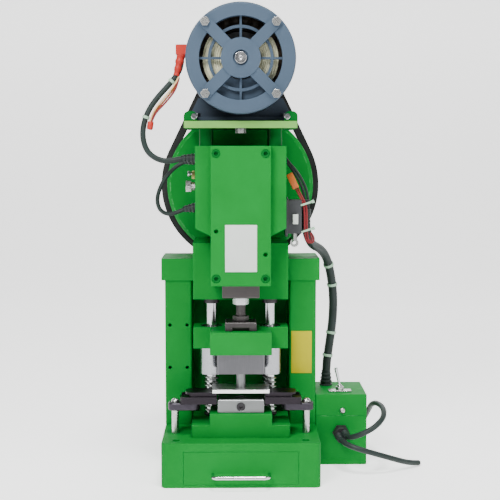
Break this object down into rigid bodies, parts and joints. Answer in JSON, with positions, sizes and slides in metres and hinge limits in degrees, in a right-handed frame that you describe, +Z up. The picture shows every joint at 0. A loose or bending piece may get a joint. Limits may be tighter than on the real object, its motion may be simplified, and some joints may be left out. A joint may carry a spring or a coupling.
{
  "type": "mechanical stamping press",
  "caption": "Bench-top mechanical stamping press: belt-driven flywheel and crank push a pillar-guided punch tool onto a die over a scrap drawer.",
  "frame": {"origin": "middle of the base's underside", "axes": "+Z up, +Y to the back, so the operator stands at -Y; +X to the operator's right"},
  "size_m": [0.4068, 0.4033, 0.6625],
  "materials": {
    "green_paint": "semi-gloss green machine paint",
    "motor_paint": "blue-grey satin paint",
    "plate_edge": "pale yellow-green paint",
    "ground_steel": "ground tool steel",
    "bright_steel": "polished, plated",
    "zinc_steel": "zinc plated",
    "black_oxide": "blackened steel",
    "bronze": "turned bearing bronze",
    "brake_lining": "woven brake lining",
    "windings": "lacquered and taped windings",
    "belt_rubber": "cloth-faced rubber",
    "coil_plastic": "moulded",
    "red_plastic": "moulded connector",
    "black_sleeve": "soft cord sheath",
    "tie_plastic": "nylon",
    "plug_plastic": "moulded plug"
  },
  "bodies": {
    "frame": {"base": "green_paint", "column": "green_paint", "head": "green_paint", "front_cover": "green_paint", "socket_screws": "black_oxide", "bolster": "green_paint", "die_block": "ground_steel", "stripper_plate": "bright_steel", "feed_rails": "black_oxide", "guide_posts": "zinc_steel", "guide_arms": "black_oxide", "pillars": "bright_steel", "pillar_springs": "zinc_steel", "pillar_collars": "black_oxide", "crank_bearings": "bronze", "brake_pad": "brake_lining", "brake_spring": "zinc_steel", "brake_adjuster": "zinc_steel", "motor_plate": "plate_edge", "plate_supports": "green_paint", "motor_saddle": "motor_paint", "hex_bolts": "zinc_steel", "motor_shell": "motor_paint", "stator_windings": "windings", "front_end_shield": "motor_paint", "rear_end_shield": "motor_paint", "v_belt": "belt_rubber", "solenoid": "coil_plastic", "control_box": "green_paint", "box_lid": "green_paint", "toggle_base": "zinc_steel", "cable_gland": "coil_plastic", "lead_connectors": "red_plastic", "loom": "black_sleeve", "cable_ties": "tie_plastic", "motor_lead": "black_sleeve", "sensor_lead": "black_sleeve", "mains_lead": "black_sleeve", "mains_coil": "black_sleeve", "mains_plug": "plug_plastic", "pedal_lead": "black_sleeve"},
    "drawer": {"drawer": "green_paint", "drawer_handle": "bright_steel"},
    "ram": {"plunger": "ground_steel", "ram_stud": "zinc_steel", "ram_nuts": "zinc_steel", "coupling_block": "ground_steel", "upper_shoe": "green_paint", "guide_bushes": "ground_steel", "punch_plate": "ground_steel", "punches": "bright_steel"},
    "crank": {"crankshaft": "ground_steel", "crank_roller": "ground_steel", "shaft_nut": "zinc_steel"},
    "flywheel": {"flywheel": "green_paint", "flywheel_bush": "bronze"},
    "rotor": {"rotor": "ground_steel", "motor_pulley": "black_oxide"},
    "toggle": {"toggle_lever": "bright_steel"},
    "trip": {"trip_rod": "ground_steel"}
  },
  "joints": [
    {"name": "drawer_slide", "type": "slide", "parent": "frame", "child": "drawer", "axis": [0, -1, 0], "range_m": [0, 0.12]},
    {"name": "ram_slide", "type": "slide", "parent": "frame", "child": "ram", "axis": [0, 0, -1], "range_m": [0, 0.02], "deforming": ["pillar_springs"]},
    {"name": "crank_turn", "type": "hinge", "parent": "frame", "child": "crank", "pos_m": [0, 0, 0.4105], "axis": [0, 1, 0], "range_deg": [0, 180]},
    {"name": "flywheel_spin", "type": "hinge", "parent": "frame", "child": "flywheel", "pos_m": [0, 0.105, 0.4105], "axis": [0, 1, 0], "continuous": true},
    {"name": "rotor_spin", "type": "hinge", "parent": "frame", "child": "rotor", "pos_m": [0, 0, 0.5875], "axis": [0, 1, 0], "continuous": true},
    {"name": "toggle_flip", "type": "hinge", "parent": "frame", "child": "toggle", "pos_m": [0.148, 0.011, 0.112], "axis": [0, 1, 0], "range_deg": [0, 24]},
    {"name": "trip_lift", "type": "slide", "parent": "frame", "child": "trip", "axis": [0, 0, 1], "range_m": [0, 0.008]}
  ],
  "couplings": [
    {"joint": "crank_turn", "follows": "ram_slide", "rad_per_m": 157},
    {"joint": "rotor_spin", "follows": "flywheel_spin", "ratio": 3}
  ]
}
